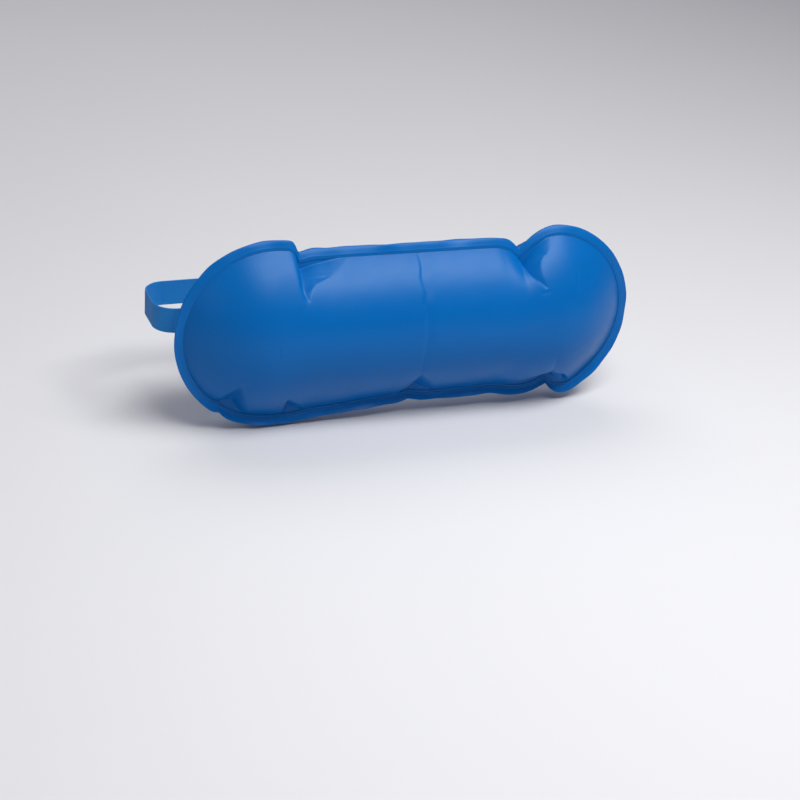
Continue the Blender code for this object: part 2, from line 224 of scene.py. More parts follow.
# Camera, seen from the cushion's centre
CAMERA_DISTANCE = 1.8
CAMERA_AZIMUTH, CAMERA_ELEVATION, CAMERA_ROLL = -21.3, 23.0, 4.5
CAMERA_LENS = 82.9
CAMERA_DOWN, CAMERA_RIGHT = 2.92, 0.17
FLOOR_DROP = 0.004

# Colours
BLUE = (0.0, 0.122, 0.415)
STRAP_BLUE = (0.0, 0.215, 0.610)
THREAD_BLUE = (0.005, 0.120, 0.400)
VALVE_TINT = (0.50, 0.66, 0.82)
BLACK = (0.014, 0.014, 0.015)
BACKGROUND = (0.76, 0.76, 0.77)
WORLD_LIGHT, WORLD_STRENGTH = (0.78, 0.76, 1.0), 0.12

# The materials' fine relief: how far apart its lines are, in metres, or its noise scale
PICK_PITCH = 0.0009
THREAD_TWIST = 0.0007
GRAIN_SCALE, PRESSED_GRAIN_SCALE = 1900.0, 1100.0


# Numbers and meshes


def smooth(low, high, value):
    """0 below low, 1 above high, and an S between them."""
    share = np.clip((value - low) / (high - low), 0.0, 1.0)
    return share * share * (3.0 - 2.0 * share)


def mesh_object(name, points, faces, material):
    """An object with smooth faces."""
    mesh = bpy.data.meshes.new(name)
    mesh.from_pydata([tuple(map(float, p)) for p in points], [], faces)
    mesh.update()
    mesh.shade_smooth()
    mesh.materials.append(material)
    obj = bpy.data.objects.new(name, mesh)
    bpy.context.scene.collection.objects.link(obj)
    return obj


def ring_faces(rings, count, flip=False, closed=True):
    """Quads between rings of count points, numbered ring by ring."""
    faces = []
    for ring in range(rings - 1):
        for k in range(count if closed else count - 1):
            a = ring * count + k
            b = ring * count + (k + 1) % count
            quad = (a, b, b + count, a + count)
            faces.append(quad[::-1] if flip else quad)
    return faces


def store(obj, name, values):
    """A vector attribute for the materials."""
    attribute = obj.data.attributes.new(name, "FLOAT_VECTOR", "POINT")
    attribute.data.foreach_set("vector", np.asarray(values, np.float32).ravel())


def subdivide(obj, levels):
    modifier = obj.modifiers.new("fine surface", "SUBSURF")
    modifier.levels = levels
    modifier.render_levels = levels


def thicken(obj, thickness):
    modifier = obj.modifiers.new("thickness", "SOLIDIFY")
    modifier.thickness = thickness
    modifier.offset = -1
    modifier.use_even_offset = False


def round_edges(obj, width):
    rounded = obj.modifiers.new("rounded edges", "BEVEL")
    rounded.width = width
    rounded.segments = 3
    rounded.limit_method = "ANGLE"
    rounded.angle_limit = math.radians(35)
    rounded.harden_normals = True


# Materials


def new_material(name, colour, roughness):
    """A Principled material, with its node tree and shader."""
    material = bpy.data.materials.new(name)
    material.use_nodes = True
    material.diffuse_color = (*colour, 1.0)
    shader = material.node_tree.nodes["Principled BSDF"]
    shader.inputs["Base Color"].default_value = (*colour, 1.0)
    shader.inputs["Roughness"].default_value = roughness
    return material, material.node_tree, shader


def node(tree, kind, inputs=None, **settings):
    """A new node, with values or links for its inputs."""
    made = tree.nodes.new(kind)
    for name, value in settings.items():
        setattr(made, name, value)
    for name, value in (inputs or {}).items():
        socket = made.inputs[name]
        if isinstance(value, bpy.types.NodeSocket):
            tree.links.new(value, socket)
        else:
            socket.default_value = value
    return made


def coordinates(tree):
    return node(tree, "ShaderNodeTexCoord").outputs["Object"]


def noise(tree, scale, detail=2.0, vector=None):
    inputs = {"Scale": scale, "Detail": detail}
    inputs["Vector"] = vector or coordinates(tree)
    return node(tree, "ShaderNodeTexNoise", inputs).outputs["Fac"]


def remap(tree, value, low, high):
    """A 0 to 1 value spread between low and high."""
    inputs = {"Value": value, "To Min": low, "To Max": high}
    return node(tree, "ShaderNodeMapRange", inputs).outputs["Result"]


def mixed(tree, share, first, second):
    """One colour turning to another with share."""
    made = node(tree, "ShaderNodeMix", data_type="RGBA")
    tree.links.new(share, made.inputs[0])
    for index, colour in ((6, first), (7, second)):
        if isinstance(colour, bpy.types.NodeSocket):
            tree.links.new(colour, made.inputs[index])
        else:
            made.inputs[index].default_value = (*colour, 1.0)
    return made.outputs[2]


def math_node(tree, operation, first, second=0.0):
    inputs = {0: first, 1: second}
    return node(tree, "ShaderNodeMath", inputs, operation=operation).outputs[0]


def bump(tree, height, distance, strength=1.0, under=None):
    inputs = {"Height": height, "Distance": distance, "Strength": strength}
    if under:
        inputs["Normal"] = under
    return node(tree, "ShaderNodeBump", inputs).outputs["Normal"]


def dimmed(colour, factor):
    return tuple(channel * factor for channel in colour)


def vinyl(name, colour, roughness, pressed=False):
    """Calendered vinyl film: satin, with a fine grain and faint handling marks."""
    material, tree, shader = new_material(name, colour, roughness)
    cloudy = noise(tree, 16.0, 4.0)
    tone = mixed(tree, remap(tree, cloudy, 0.1, 0.9), dimmed(colour, 0.93), dimmed(colour, 1.06))
    tree.links.new(tone, shader.inputs["Base Color"])
    marks = noise(tree, 60.0, 5.0)
    tree.links.new(remap(tree, marks, roughness - 0.06, roughness + 0.06), shader.inputs["Roughness"])
    grain_scale = PRESSED_GRAIN_SCALE if pressed else GRAIN_SCALE
    cells = node(tree, "ShaderNodeTexVoronoi", {"Vector": coordinates(tree), "Scale": grain_scale})
    cells.feature = "SMOOTH_F1"
    grain = bump(tree, cells.outputs["Distance"], 0.00008, 0.35)
    slack = bump(tree, noise(tree, 45.0, 2.0), 0.0006, 0.35, grain)
    tree.links.new(slack, shader.inputs["Normal"])
    shader.inputs["Specular IOR Level"].default_value = 0.20
    shader.inputs["Specular Tint"].default_value = (0.78, 0.90, 1.0, 1.0)
    return material


def webbing(name, colour):
    """Woven elastic: lengthwise ribs crossed by fine rubber-filled picks."""
    material, tree, shader = new_material(name, colour, 0.78)
    run = node(tree, "ShaderNodeAttribute", attribute_name="run").outputs["Vector"]
    split = node(tree, "ShaderNodeSeparateXYZ", {"Vector": run})
    along, across = split.outputs["X"], split.outputs["Y"]
    pick = math_node(tree, "SINE", math_node(tree, "MULTIPLY", along, math.tau / PICK_PITCH))
    rib_phase = math_node(tree, "MULTIPLY", across, math.tau * RIBS / STRAP_WIDTH)
    rib = math_node(tree, "COSINE", rib_phase)
    half_rib = math_node(tree, "SIGN", rib)
    weave = math_node(tree, "MULTIPLY", pick, half_rib)
    fuzz = noise(tree, 2600.0, 2.0)
    height = math_node(tree, "ADD", weave, math_node(tree, "MULTIPLY", fuzz, 0.8))
    tree.links.new(bump(tree, height, 0.00006, 0.8), shader.inputs["Normal"])
    # Painted shade and highlight: the colour is darker where the weave sinks, in the grooves between ribs
    # and picks, and lighter on its raised crests. A random mottle is added on top.
    painted_groove_shade = remap(tree, math_node(tree, "MULTIPLY", weave, 0.5), 0.35, 0.85)
    groove_shade_and_wear = math_node(tree, "ADD", painted_groove_shade, math_node(tree, "MULTIPLY", noise(tree, 70.0, 4.0), 0.3))
    tone = mixed(tree, groove_shade_and_wear, dimmed(colour, 0.62), dimmed(colour, 1.18))
    tree.links.new(tone, shader.inputs["Base Color"])
    shader.inputs["Sheen Weight"].default_value = 0.06
    shader.inputs["Sheen Roughness"].default_value = 0.5
    return material


def thread(name, colour):
    """Twisted polyester sewing thread."""
    material, tree, shader = new_material(name, colour, 0.5)
    run = node(tree, "ShaderNodeAttribute", attribute_name="run").outputs["Vector"]
    split = node(tree, "ShaderNodeSeparateXYZ", {"Vector": run})
    turn = math_node(tree, "MULTIPLY", split.outputs["X"], math.tau / THREAD_TWIST)
    ply = math_node(tree, "SINE", math_node(tree, "ADD", turn, split.outputs["Y"]))
    tree.links.new(bump(tree, ply, 0.00005, 0.9), shader.inputs["Normal"])
    # Painted shade and highlight: the thread is darker in the grooves of its twist and lighter on the crests
    # of its plies.
    shade = mixed(tree, remap(tree, ply, 0.5, 1.0), dimmed(colour, 0.6), dimmed(colour, 1.25))
    tree.links.new(shade, shader.inputs["Base Color"])
    shader.inputs["Sheen Weight"].default_value = 0.2
    return material


def moulded_plastic(name, colour):
    """Spark-textured acetal, rubbed smoother and lighter in places."""
    material, tree, shader = new_material(name, colour, 0.42)
    wear = noise(tree, 130.0, 5.0)
    tree.links.new(remap(tree, wear, 0.32, 0.52), shader.inputs["Roughness"])
    tone = mixed(tree, remap(tree, wear, 0.0, 1.0), dimmed(colour, 0.8), dimmed(colour, 1.5))
    tree.links.new(tone, shader.inputs["Base Color"])
    spark = noise(tree, 5200.0, 2.0)
    tree.links.new(bump(tree, spark, 0.00006, 0.5), shader.inputs["Normal"])
    return material


def clear_vinyl(name, colour):
    """Soft, milky valve vinyl that lets some light through."""
    material, tree, shader = new_material(name, colour, 0.24)
    cloudy = noise(tree, 220.0, 3.0)
    tone = mixed(tree, cloudy, dimmed(colour, 0.9), dimmed(colour, 1.08))
    tree.links.new(tone, shader.inputs["Base Color"])
    tree.links.new(remap(tree, cloudy, 0.18, 0.32), shader.inputs["Roughness"])
    tree.links.new(bump(tree, noise(tree, 900.0, 2.0), 0.00004, 0.5), shader.inputs["Normal"])
    shader.inputs["Transmission Weight"].default_value = 0.45
    shader.inputs["IOR"].default_value = 1.45
    return material


def floor_material():
    material, tree, shader = new_material("pale_floor", (0.72, 0.72, 0.73), 0.8)
    cloudy = noise(tree, 3.0, 2.0)
    tone = mixed(tree, cloudy, (0.71, 0.71, 0.72), (0.73, 0.73, 0.74))
    tree.links.new(tone, shader.inputs["Base Color"])
    shader.inputs["Specular IOR Level"].default_value = 0.2
    return material


# The cushion's outline and films


def notched(side, x):
    """How far the edge is drawn in at x, on the top or the bottom side."""
    drawn = 0.0
    for notch_side, place, depth, before, after, power in EDGE_NOTCHES:
        if notch_side == side:
            reach = after if x > place else before
            drawn += depth * math.exp(-((abs(x - place) / reach) ** power))
    return drawn


def half_height(x, inset):
    """Half the height between the lobes' centres, without the notches."""
    lobe = math.sqrt((LOBE_RADIUS - inset) ** 2 - min(LOBE_CENTRE - abs(x), LOBE_SPAN) ** 2)
    band = BAND_HALF_HEIGHT - inset
    near = max(NECK_FILLET - abs(lobe - band), 0) / NECK_FILLET
    return max(lobe, band) + near * near * NECK_FILLET / 4


def stations():
    """For each station round the cushion: its point on the spine and its direction out."""
    for side in (1, -1):
        for step in range(END_STATIONS):
            angle = math.pi * (step / END_STATIONS - 0.5)
            yield side * LOBE_CENTRE, side * math.cos(angle), side * math.sin(angle)
        for step in range(SIDE_STATIONS):
            yield side * LOBE_CENTRE * (1 - 2 * step / SIDE_STATIONS), 0.0, side


def outline(inset, with_notches=True):
    """Spine points and edge points of every station, as two arrays of x, z."""
    spine, edge = [], []
    for x, out_x, out_z in stations():
        ends = abs(out_x) > 0
        reach = LOBE_RADIUS - inset if ends else half_height(x, inset)
        edge_x = x + out_x * reach
        if with_notches and out_z:
            reach -= notched(1 if out_z > 0 else -1, edge_x)
        spine.append((x, 0.0))
        edge.append((x + out_x * reach, out_z * reach))
    return np.array(spine), np.array(edge)


def smooth_curve(points, steps=5):
    """Rows of numbers filled in along a smooth curve through the given rows."""
    rows = np.array(points)
    if len(rows) < 3:
        return rows
    ends = np.vstack([2 * rows[0] - rows[1], rows, 2 * rows[-1] - rows[-2]])
    curve = []
    for before, start, end, after in zip(ends, ends[1:], ends[2:], ends[3:]):
        for share in np.arange(steps) / steps:
            start_slope, end_slope = (end - before) / 2, (after - start) / 2
            settled = share**2 * (3 - 2 * share)
            bend = start_slope * share * (1 - share) ** 2 - end_slope * share**2 * (1 - share)
            curve.append(start + (end - start) * settled + bend)
    curve.append(rows[-1])
    return np.array(curve)


def middle_crease():
    """The crease in the middle of the front, as one more fold."""
    rows = [(CREASE_X, CREASE_TOP, CREASE_DEPTH / 2, *CREASE_REACH)]
    for bend in range(CREASE_BENDS):
        side = -1 if bend % 2 else 1
        height = CREASE_TOP - (bend + 1) * CREASE_STEP
        rows.append((CREASE_X + side * CREASE_WANDER, height, CREASE_DEPTH, *CREASE_REACH))
    rows.append((CREASE_X, CREASE_FOOT, CREASE_DEPTH / 2, *CREASE_REACH))
    return rows


def fold_depth(points, folds):
    """How deep the folds press the film at these x, z points."""
    total = np.zeros(len(points))
    for fold in folds:
        nearest = np.full(len(points), np.inf)
        pressed = np.zeros(len(points))
        rows = smooth_curve(fold)
        for start, end in zip(rows, rows[1:]):
            along = end[:2] - start[:2]
            share = np.clip((points - start[:2]) @ along / (along @ along), 0.0, 1.0)
            off = points - start[:2] - share[:, None] * along
            distance = np.hypot(*off.T)
            values = start[2:] + (end - start)[2:] * share[:, None]
            left = off @ np.array((-along[1], along[0])) > 0
            reach = np.where(left, values[:, 1], values[:, 2])
            rounded = np.hypot(distance / reach, FOLD_ROUNDING) - FOLD_ROUNDING
            slope = np.clip(1 - rounded, 0, 1) ** FOLD_POWER
            closer = distance < nearest
            nearest[closer] = distance[closer]
            pressed[closer] = (values[:, 0] * slope)[closer]
        total = np.maximum(total, pressed) + FOLD_OVERLAP * np.minimum(total, pressed)
    return total


def film_points(section, depth_of, with_notches=True):
    """Rings of a film from the weld to the crown. depth_of turns its rise, 0 to 1, into y."""
    spine, weld = outline(WELD_WIDTH, False)
    notches = outline(WELD_WIDTH, with_notches)[1] - weld
    inner_power, outer_power = section
    rings = []
    for ring in range(FILM_RINGS):
        angle = math.pi / 2 * ring / (FILM_RINGS - 1)
        out = LAST_RING + (1 - LAST_RING) * math.cos(angle) ** RING_CROWDING
        rise = (1 - out**inner_power) ** outer_power
        flat = spine + (weld - spine) * out + notches * out**NOTCH_FADE
        y = np.full(STATIONS, depth_of(rise))
        rings.append(np.column_stack([flat[:, 0], y, flat[:, 1]]))
    return np.vstack(rings)


def towards_core(points):
    """Unit vectors from the points to the cushion's long axis."""
    core = np.zeros_like(points)
    core[:, 0] = np.clip(points[:, 0], -LOBE_CENTRE, LOBE_CENTRE)
    core[:, 1] = SEAM_Y
    off = core - points
    return off / np.maximum(np.linalg.norm(off, axis=1, keepdims=True), 1e-6)


def every_second(points):
    """The points of every second ring and station."""
    grid = points.reshape(FILM_RINGS, STATIONS, 3)
    return grid[::2, ::2].reshape(-1, 3)


def calmed(values, rounds):
    """Values of every second ring and station, each averaged with its neighbours."""
    grid = values.reshape((FILM_RINGS + 1) // 2, STATIONS // 2, 3).copy()
    for _ in range(rounds):
        grid = grid / 2 + (np.roll(grid, 1, 1) + np.roll(grid, -1, 1)) / 4
        grid[1:-1] = grid[1:-1] / 2 + (grid[:-2] + grid[2:]) / 4
    return grid


def filled_in(grid):
    """Values of every second ring and station, filled in between for all of them."""
    around = np.empty((len(grid), STATIONS, 3))
    around[:, ::2] = grid
    around[:, 1::2] = (grid + np.roll(grid, -1, 1)) / 2
    full = np.empty((FILM_RINGS, STATIONS, 3))
    full[::2] = around
    full[1::2] = (around[:-1] + around[1:]) / 2
    return full.reshape(-1, 3)


def cap_of(first, count):
    """Quads across the last ring, between stations opposite each other."""
    faces = []
    ends = END_STATIONS * count // STATIONS
    for k in range(ends // 2, ends // 2 + count // 2):
        corners = [k % count, (k + 1) % count, (ends - k - 1) % count, (ends - k) % count]
        faces.append(tuple(dict.fromkeys(first + corner for corner in corners)))
    return faces


def add_cloth(obj, rest_shape, held):
    """Cloth under air pressure, without gravity, that is held at one vertex group."""
    cloth = obj.modifiers.new("cloth", "CLOTH")
    settings = cloth.settings
    settings.quality = CLOTH_QUALITY
    settings.mass = CLOTH_MASS
    settings.air_damping = CLOTH_AIR_DAMPING
    settings.tension_stiffness = CLOTH_STIFFNESS
    settings.compression_stiffness = CLOTH_STIFFNESS
    settings.shear_stiffness = CLOTH_STIFFNESS / 2
    settings.bending_stiffness = CLOTH_BENDING
    settings.tension_damping = CLOTH_DAMPING
    settings.compression_damping = CLOTH_DAMPING
    settings.shear_damping = CLOTH_DAMPING
    settings.bending_damping = CLOTH_BENDING_DAMPING
    settings.vertex_group_mass = held
    settings.rest_shape_key = rest_shape
    settings.use_pressure = True
    settings.uniform_pressure_force = CLOTH_PRESSURE
    settings.effector_weights.gravity = 0.0
    cloth.point_cache.frame_start = 1
    cloth.point_cache.frame_end = CLOTH_FRAMES


def settled_points(obj):
    """The object's points after all the cloth's frames. The object is then removed."""
    for moment in range(1, CLOTH_FRAMES + 1):
        bpy.context.scene.frame_set(moment)
    graph = bpy.context.evaluated_depsgraph_get()
    settled = obj.evaluated_get(graph).to_mesh()
    points = np.empty(len(settled.vertices) * 3)
    settled.vertices.foreach_get("co", points)
    bpy.data.objects.remove(obj)
    bpy.context.scene.frame_set(1)
    return points.reshape(-1, 3)


def inflated(points, slack_points, material):
    """How the film moves when air fills it: cloth held at the weld, cut to the slack shape."""
    start, cut = every_second(points), every_second(slack_points)
    rings, count = (FILM_RINGS + 1) // 2, STATIONS // 2
    faces = ring_faces(rings, count) + cap_of((rings - 1) * count, count)
    obj = mesh_object("film_in_air", start, faces, material)
    obj.shape_key_add(name="start")
    slack = obj.shape_key_add(name="cut")
    slack.data.foreach_set("co", cut.ravel())
    slack.value = 0.0
    weld = obj.vertex_groups.new(name="weld")
    weld.add(list(range(2 * count)), 1.0, "REPLACE")
    add_cloth(obj, slack, weld.name)
    shift = settled_points(obj) - start
    length = np.linalg.norm(shift, axis=1, keepdims=True)
    shift *= np.minimum(1.0, MOST_SHIFT / np.maximum(length, 1e-9))
    return filled_in(calmed(shift, CALMING_ROUNDS))


def front_depth(rise):
    """The front film's y at this rise."""
    return SEAM_Y + (FRONT_Y - SEAM_Y + FILM) * rise


def front_film(material):
    """The film towards the sitter: its bulge, its folds and how it settles under pressure."""
    points = film_points(FRONT_SECTION, front_depth)
    free = np.repeat(smooth(0, FOLD_FREE_RINGS, np.arange(FILM_RINGS)), STATIONS)
    depth = fold_depth(points[:, [0, 2]], [*FRONT_FOLDS, middle_crease()]) * free
    points += towards_core(points) * depth[:, None]
    slack = film_points(FRONT_SECTION, front_depth, with_notches=False) * SLACK
    points += inflated(points, slack, material)
    faces = ring_faces(FILM_RINGS, STATIONS) + cap_of((FILM_RINGS - 1) * STATIONS, STATIONS)
    obj = mesh_object("front_film_shell", points, faces, material)
    thicken(obj, FILM)
    return obj


def pressed_flat(rise):
    """The rear film's y at this rise: the backrest stops it at the flat face."""
    full = REAR_PRESSED * rise
    if full > 1 + REAR_BEND:
        share = 1.0
    elif full < 1 - REAR_BEND:
        share = full
    else:
        share = full - (full - 1 + REAR_BEND) ** 2 / (4 * REAR_BEND)
    return SEAM_Y + (REAR_Y - SEAM_Y) * share


def valve_place():
    """The valve's own frame: its Z axis points out of the film."""
    joints = {joint["name"]: joint for joint in frame["joints"]}
    out = Vector(joints["valve_pull"]["axis"]).normalized()
    across = Vector(joints["flap_open"]["axis"]).normalized()
    turn = Matrix((across.cross(out), across, out)).transposed()
    centre = Vector(joints["flap_open"]["pos_m"]) - turn @ Vector(FLAP_HINGE)
    return Matrix.Translation(centre) @ turn.to_4x4()


def flat_round_valve(points):
    """Lays the film flat under the valve's flange, and says how far each point is from its axis."""
    place = valve_place()
    centre, out = np.array(place.translation), np.array(place.col[2])[:3]
    off = points - centre
    height = off @ out
    radius = np.linalg.norm(off - height[:, None] * out, axis=1)
    level = 1 - smooth(FILM_FLAT_RADIUS, FILM_FREE_RADIUS, radius)
    elsewhere = np.abs(height) > FILM_NEAR_VALVE
    level[elsewhere] = 0
    points -= (height * level)[:, None] * out
    return np.where(elsewhere, np.inf, radius)


def cut_valve_hole(obj, radius):
    """Takes the film away inside the hole and rounds what is left of its edge."""
    place = valve_place()
    bm = bmesh.new()
    bm.from_mesh(obj.data)
    bm.verts.ensure_lookup_table()
    inside = [bm.verts[k] for k in np.flatnonzero(radius < FILM_HOLE)]
    bmesh.ops.delete(bm, geom=inside, context="VERTS")
    for vert in bm.verts:
        local = place.inverted() @ vert.co
        reach = math.hypot(local.x, local.y)
        if vert.is_boundary and reach < 2 * FILM_HOLE:
            scale = FILM_HOLE / reach
            vert.co = place @ Vector((local.x * scale, local.y * scale, 0))
    bm.to_mesh(obj.data)
    bm.free()


def rear_film(material):
    """The film towards the chair, with the valve's hole."""
    points = film_points(REAR_SECTION, pressed_flat)
    radius = flat_round_valve(points)
    faces = ring_faces(FILM_RINGS, STATIONS, flip=True)
    faces += [face[::-1] for face in cap_of((FILM_RINGS - 1) * STATIONS, STATIONS)]
    obj = mesh_object("rear_film_shell", points, faces, material)
    cut_valve_hole(obj, radius)
    thicken(obj, FILM)
    return obj


def rear_film_y(x, z):
    """The rear film's outer face at x, z, away from the valve and the notches."""
    beyond = max(abs(x) - LOBE_CENTRE, 0.0)
    weld = LOBE_RADIUS - WELD_WIDTH if beyond else half_height(x, WELD_WIDTH)
    out = min(math.hypot(beyond, z) / weld, 1.0)
    inner_power, outer_power = REAR_SECTION
    return pressed_flat((1 - out**inner_power) ** outer_power)


def flange_section():
    """The border's closed section, as shares of the way in from the rim and heights off the seam."""
    front = [(1.0, CHAMBER_HALF), (0.95, BEAD_HALF), (0.88, FLAT_HALF), (0.80, FLAT_HALF)]
    front += [(0.74, BEAD_HALF), (0.68, BEAD_HALF), (0.62, FLAT_HALF), (0.30, FLAT_HALF)]
    front += [(0.05, FLAT_HALF), (0.0, RIM_HALF)]
    return [(share, -height) for share, height in front] + front[::-1]


def flange_waves(edge):
    """How far the border waves off the seam at every station."""
    lengths = np.linalg.norm(np.roll(edge, -1, 0) - edge, axis=1)
    travel = np.concatenate([[0], np.cumsum(lengths)[:-1]]) / lengths.sum() * math.tau
    return sum(height * np.sin(count * travel + start) for height, count, start in FLANGE_WAVES)


def weld_flange(material):
    """The welded border: both films' margins, the pressed track and the bead at the chamber."""
    _, edge = outline(0.0)
    _, weld = outline(WELD_WIDTH + WELD_OVERLAP)
    section = flange_section()
    lean = np.array([FLANGE_LEAN * out_z for _, _, out_z in stations()])
    bent = flange_waves(edge) + lean
    rings = []
    for share, height in section:
        flat = edge + (weld - edge) * share
        y = SEAM_Y + height + bent * (1 - share) ** 2
        rings.append(np.column_stack([flat[:, 0], y, flat[:, 1]]))
    faces = ring_faces(len(section), STATIONS, flip=True)
    last = (len(section) - 1) * STATIONS
    for k in range(STATIONS):
        after = (k + 1) % STATIONS
        faces.append((last + k, k, after, last + after)[::-1])
    obj = mesh_object("weld_flange", np.vstack(rings), faces, material)
    subdivide(obj, 1)
    return obj


def cushion():
    """Both films and the border that joins them."""
    film = vinyl("blue_vinyl_film", BLUE, 0.35)
    pressed = vinyl("blue_vinyl_weld", BLUE, 0.37, pressed=True)
    front = front_film(film)
    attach(front, "cushion")
    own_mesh(front)
    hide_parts("front_film")
    rear = rear_film(film)
    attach(rear, "cushion")
    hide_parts("rear_film")
    flange = weld_flange(pressed)
    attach(flange, "cushion")


# Camera, floor and light


def camera():
    """A long lens from the front left and above, turned down so that the cushion sits high."""
    data = bpy.data.cameras.new("camera")
    data.lens = CAMERA_LENS
    obj = bpy.data.objects.new("camera", data)
    bpy.context.scene.collection.objects.link(obj)
    azimuth, elevation = math.radians(CAMERA_AZIMUTH), math.radians(CAMERA_ELEVATION)
    back = Vector(
        (
            math.sin(azimuth) * math.cos(elevation),
            -math.cos(azimuth) * math.cos(elevation),
            math.sin(elevation),
        )
    )
    right = Vector((math.cos(azimuth), math.sin(azimuth), 0))
    level = Matrix((right, back.cross(right), back)).transposed()
    turn = level @ Matrix.Rotation(math.radians(CAMERA_ROLL), 3, "Z")
    turn = turn @ Matrix.Rotation(math.radians(-CAMERA_DOWN), 3, "X")
    turn = turn @ Matrix.Rotation(math.radians(-CAMERA_RIGHT), 3, "Y")
    obj.matrix_world = Matrix.Translation(back * CAMERA_DISTANCE) @ turn.to_4x4()
    bpy.context.scene.camera = obj


def area_light(name, place, target, size, power):
    """A rectangular white light that faces its target."""
    data = bpy.data.lights.new(name, "AREA")
    data.shape = "RECTANGLE"
    data.size, data.size_y = size
    data.energy = power
    obj = bpy.data.objects.new(name, data)
    bpy.context.scene.collection.objects.link(obj)
    obj.location = place
    aim = Vector(target) - Vector(place)
    obj.rotation_euler = aim.to_track_quat("-Z", "Y").to_euler()


def studio():
    """The floor, the world and three soft lights. The camera sees the world paler than its light is."""
    floor_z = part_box("rear_film")[0].z - FLOOR_DROP
    points = [(-6, -6, floor_z), (6, -6, floor_z), (6, 6, floor_z), (-6, 6, floor_z)]
    floor = mesh_object("floor", points, [(0, 1, 2, 3)], floor_material())
    world = bpy.data.worlds.new("studio")
    world.use_nodes = True
    tree = world.node_tree
    seen = node(tree, "ShaderNodeLightPath").outputs["Is Camera Ray"]
    colour = mixed(tree, seen, dimmed(WORLD_LIGHT, WORLD_STRENGTH), BACKGROUND)
    tree.links.new(colour, tree.nodes["Background"].inputs["Color"])
    bpy.context.scene.world = world
    area_light("key", (0.32, -0.72, 1.35), (0, 0, 0.05), (1.3, 0.62), 27)
    area_light("top", (0.0, 1.4, 2.0), (0, 1.0, 0), (2.6, 1.6), 24)
    area_light("fill", (-1.8, -0.9, 0.8), (0, 0, 0), (1.0, 1.0), 2.5)
    bpy.context.scene.view_settings.view_transform = "Standard"


# The strap, its anchors and their stitches


def arc(centre, radius, start, end, steps):
    """Points along an arc, both ends included, with angles in degrees."""
    angles = [math.radians(start + (end - start) * k / steps) for k in range(steps + 1)]
    return [(centre[0] + radius * math.cos(a), centre[1] + radius * math.sin(a)) for a in angles]


def strap_route(bar_x, end_x):
    """The strap's middle line in x, y: from its stitched end round the corners to the buckle and back."""
    corner_x = LOOP_HALF_WIDTH - LOOP_CORNER
    route = [(STRAP_END_X, STRAP_Y), (SEWN_TO_X, STRAP_Y)]
    route += arc((corner_x, STRAP_Y + LOOP_CORNER), LOOP_CORNER, -90, 0, ARC_STEPS)
    route += arc((corner_x, STRAP_SPLIT_Y), LOOP_CORNER, 0, 90, ARC_STEPS)
    route += arc((bar_x, LOOP_DEPTH + WRAP_RADIUS), WRAP_RADIUS, 270, 90, ARC_STEPS)
    route += [(bar_x + WRAP_TAPER, OUTER_LAYER_Y), (end_x, OUTER_LAYER_Y)]
    return np.array(route)


def spaced(route, step):
    """The route as points a step apart or closer, with every bend's own points kept."""
    points = []
    for first, second in zip(route, route[1:]):
        count = max(1, math.ceil(np.linalg.norm(second - first) / step))
        points += [first + (second - first) * k / count for k in range(count)]
    return np.array(points + [route[-1]])


def webbing_section():
    """The strap's section: offsets across and through it, ribbed on both faces."""
    count = RIBS * RIB_SAMPLES
    half = STRAP_WIDTH / 2
    face = []
    for k in range(count + 1):
        across = -half + STRAP_WIDTH * k / count
        edge = max(abs(across) - (half - SELVEDGE), 0) / SELVEDGE
        rounding = math.sqrt(max(1 - edge**2, 0.04))
        rib = RIB_HEIGHT * abs(math.cos(math.pi * RIBS * across / STRAP_WIDTH))
        face.append((across, (STRAP / 2 - RIB_HEIGHT + rib) * rounding))
    return np.array(face + [(across, -through) for across, through in reversed(face)])


def normals_of(route):
    """Unit vectors square to the route at each of its points."""
    ahead = np.gradient(route, axis=0)
    ahead /= np.linalg.norm(ahead, axis=1, keepdims=True)
    return np.column_stack([-ahead[:, 1], ahead[:, 0]])


def webbing_ends(rings, count, flip):
    """Quads that close the webbing's first and last section."""
    faces = []
    for first in (0, (rings - 1) * count):
        turned_over = (first == 0) != flip
        for k in range(count // 2 - 1):
            quad = (first + k, first + k + 1, first + count - 2 - k, first + count - 1 - k)
            faces.append(quad[::-1] if turned_over else quad)
    return faces


def strap_piece(name, side, bar_x, end_x, material):
    """One half of the strap, from its anchor to the buckle and back over itself."""
    route = spaced(strap_route(bar_x, end_x) * (side, 1), STRAP_STEP)
    travel = np.concatenate([[0], np.cumsum(np.linalg.norm(np.diff(route, axis=0), axis=1))])
    section = webbing_section()
    across, through = section[:, 0], section[:, 1:]
    points, run = [], []
    for place, out, along in zip(route, normals_of(route), travel):
        sway = SWAY * math.sin(along * SWAY_RATE) * min(along * 20, 1)
        points.append(np.column_stack([place + out * through, across + sway]))
        run.append(np.column_stack([np.full(len(section), along), across, 0 * across]))
    faces = ring_faces(len(route), len(section), flip=side < 0)
    faces += webbing_ends(len(route), len(section), flip=side < 0)
    obj = mesh_object(name, np.vstack(points), faces, material)
    store(obj, "run", np.vstack(run))
    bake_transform(obj)
    return obj


def rounded_outline(half_x, half_z, radius):
    """Points round a rectangle with round corners, anticlockwise."""
    points = []
    for sign_x, sign_z, start in ((1, 1, 0), (-1, 1, 90), (-1, -1, 180), (1, -1, 270)):
        centre = (sign_x * (half_x - radius), sign_z * (half_z - radius))
        points += arc(centre, radius, start, start + 90, 10)
    return points


